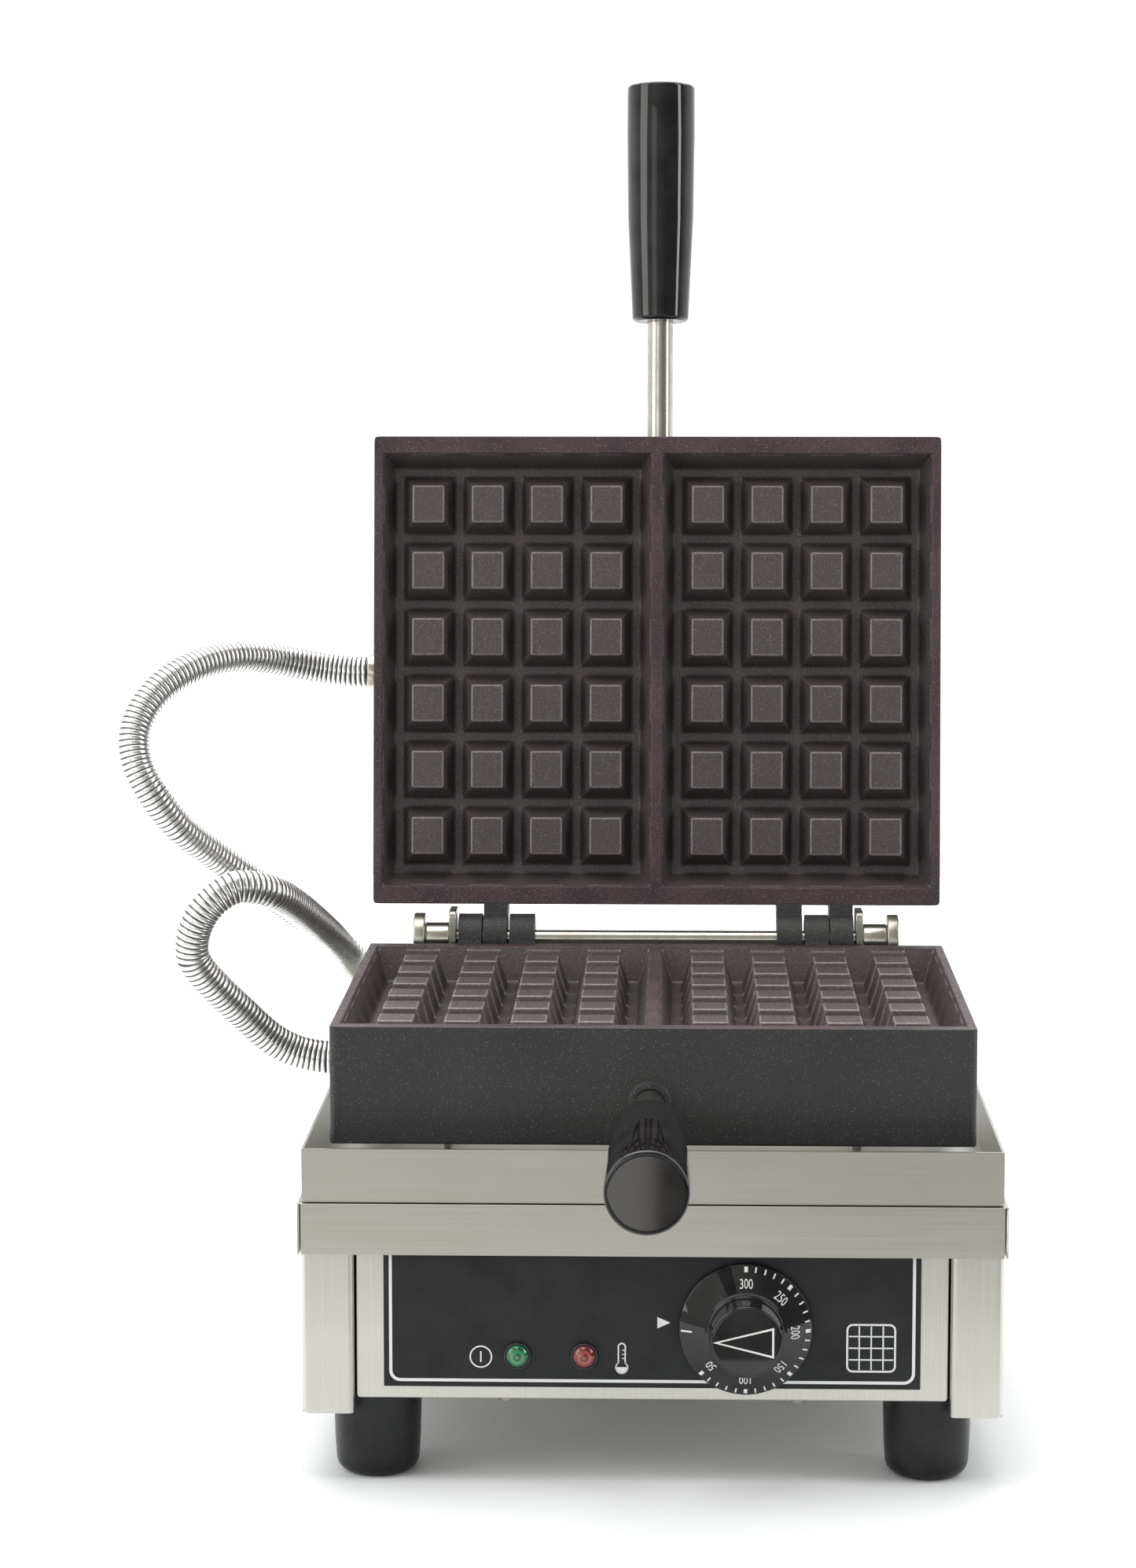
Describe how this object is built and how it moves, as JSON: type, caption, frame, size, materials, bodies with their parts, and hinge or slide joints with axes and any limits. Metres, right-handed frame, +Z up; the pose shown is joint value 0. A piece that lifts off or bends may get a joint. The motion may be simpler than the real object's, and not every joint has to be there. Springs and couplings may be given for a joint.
{
  "type": "waffle maker",
  "caption": "Counter-top waffle maker with two hinged cast-iron moulds, long grips, a drip tray and a thermostat knob on a folded steel base.",
  "frame": {"origin": "on the table, under the middle of the machine's bounding box without its hoses", "axes": "+Z up, +Y to the back (hinge side), +X to the right seen from the front"},
  "size_m": [0.3477, 0.442, 0.5184],
  "materials": {
    "cast_iron": "seasoned, fine cast grain",
    "brushed_steel": "brushed along its length",
    "polished_steel": "turned and polished",
    "spiral_conduit": "bright wound strip",
    "bakelite": "moulded, high gloss",
    "rubber": "moulded, satin",
    "control_film": "satin printed film",
    "green_lens": "clear coloured lens",
    "red_lens": "clear coloured lens",
    "black_plastic": "moulded, satin",
    "mineral_wool": "pressed fibre",
    "ceramic": "moulded, matt"
  },
  "bodies": {
    "base": {"base_lid": "brushed_steel", "base_side_left": "brushed_steel", "base_side_right": "brushed_steel", "front_panel": "brushed_steel", "rear_panel": "brushed_steel", "bottom_plate": "brushed_steel", "foot_front_left": "rubber", "foot_front_right": "rubber", "foot_rear_left": "rubber", "foot_rear_right": "rubber", "control_overlay": "control_film", "power_lamp_body": "black_plastic", "power_lamp_lens": "green_lens", "heat_lamp_body": "black_plastic", "heat_lamp_lens": "red_lens", "thermostat_body": "ceramic", "safety_thermostat": "black_plastic", "terminal_block": "ceramic", "hinge_bracket_left": "brushed_steel", "hinge_bracket_right": "brushed_steel", "hinge_shaft": "polished_steel", "shaft_sleeve_left": "polished_steel", "shaft_sleeve_right": "polished_steel", "shaft_cap_left": "polished_steel", "shaft_cap_right": "polished_steel", "bracket_bolt_left_front": "polished_steel", "bracket_bolt_left_rear": "polished_steel", "bracket_bolt_right_front": "polished_steel", "bracket_bolt_right_rear": "polished_steel", "panel_screw_left": "polished_steel", "panel_screw_right": "polished_steel", "lower_hose_gland": "polished_steel", "upper_hose_gland": "polished_steel", "mains_gland": "black_plastic", "lower_hose": "spiral_conduit", "upper_hose": "spiral_conduit"},
    "lower_mould": {"lower_casting": "cast_iron", "lower_heating_element": "polished_steel", "lower_insulation": "mineral_wool", "lower_cover": "brushed_steel", "lower_handle_rod": "polished_steel", "lower_grip": "bakelite", "lower_hose_ferrule": "polished_steel", "rest_pin_left": "polished_steel", "rest_pin_right": "polished_steel"},
    "upper_mould": {"upper_casting": "cast_iron", "upper_heating_element": "polished_steel", "upper_insulation": "mineral_wool", "upper_cover": "brushed_steel", "upper_handle_rod": "polished_steel", "upper_grip": "bakelite", "upper_hose_ferrule": "polished_steel"},
    "knob": {"thermostat_knob": "bakelite", "thermostat_spindle": "polished_steel"},
    "tray": {"drip_tray": "brushed_steel"}
  },
  "joints": [
    {"name": "mould_tilt", "type": "hinge", "parent": "base", "child": "lower_mould", "pos_m": [0, 0.1353, 0.166], "axis": [-1, 0, 0], "range_deg": [0, 90], "deforming": ["lower_hose", "upper_hose"]},
    {"name": "lid_swing", "type": "hinge", "parent": "lower_mould", "child": "upper_mould", "pos_m": [0, 0.1353, 0.166], "axis": [1, 0, 0], "range_deg": [0, 96.4]},
    {"name": "knob_turn", "type": "hinge", "parent": "base", "child": "knob", "pos_m": [0.0338, -0.0842, 0.0586], "axis": [0, 1, 0], "range_deg": [0, 270]},
    {"name": "tray_slide", "type": "slide", "parent": "base", "child": "tray", "axis": [0, -1, 0], "range_m": [0, 0.2]}
  ]
}
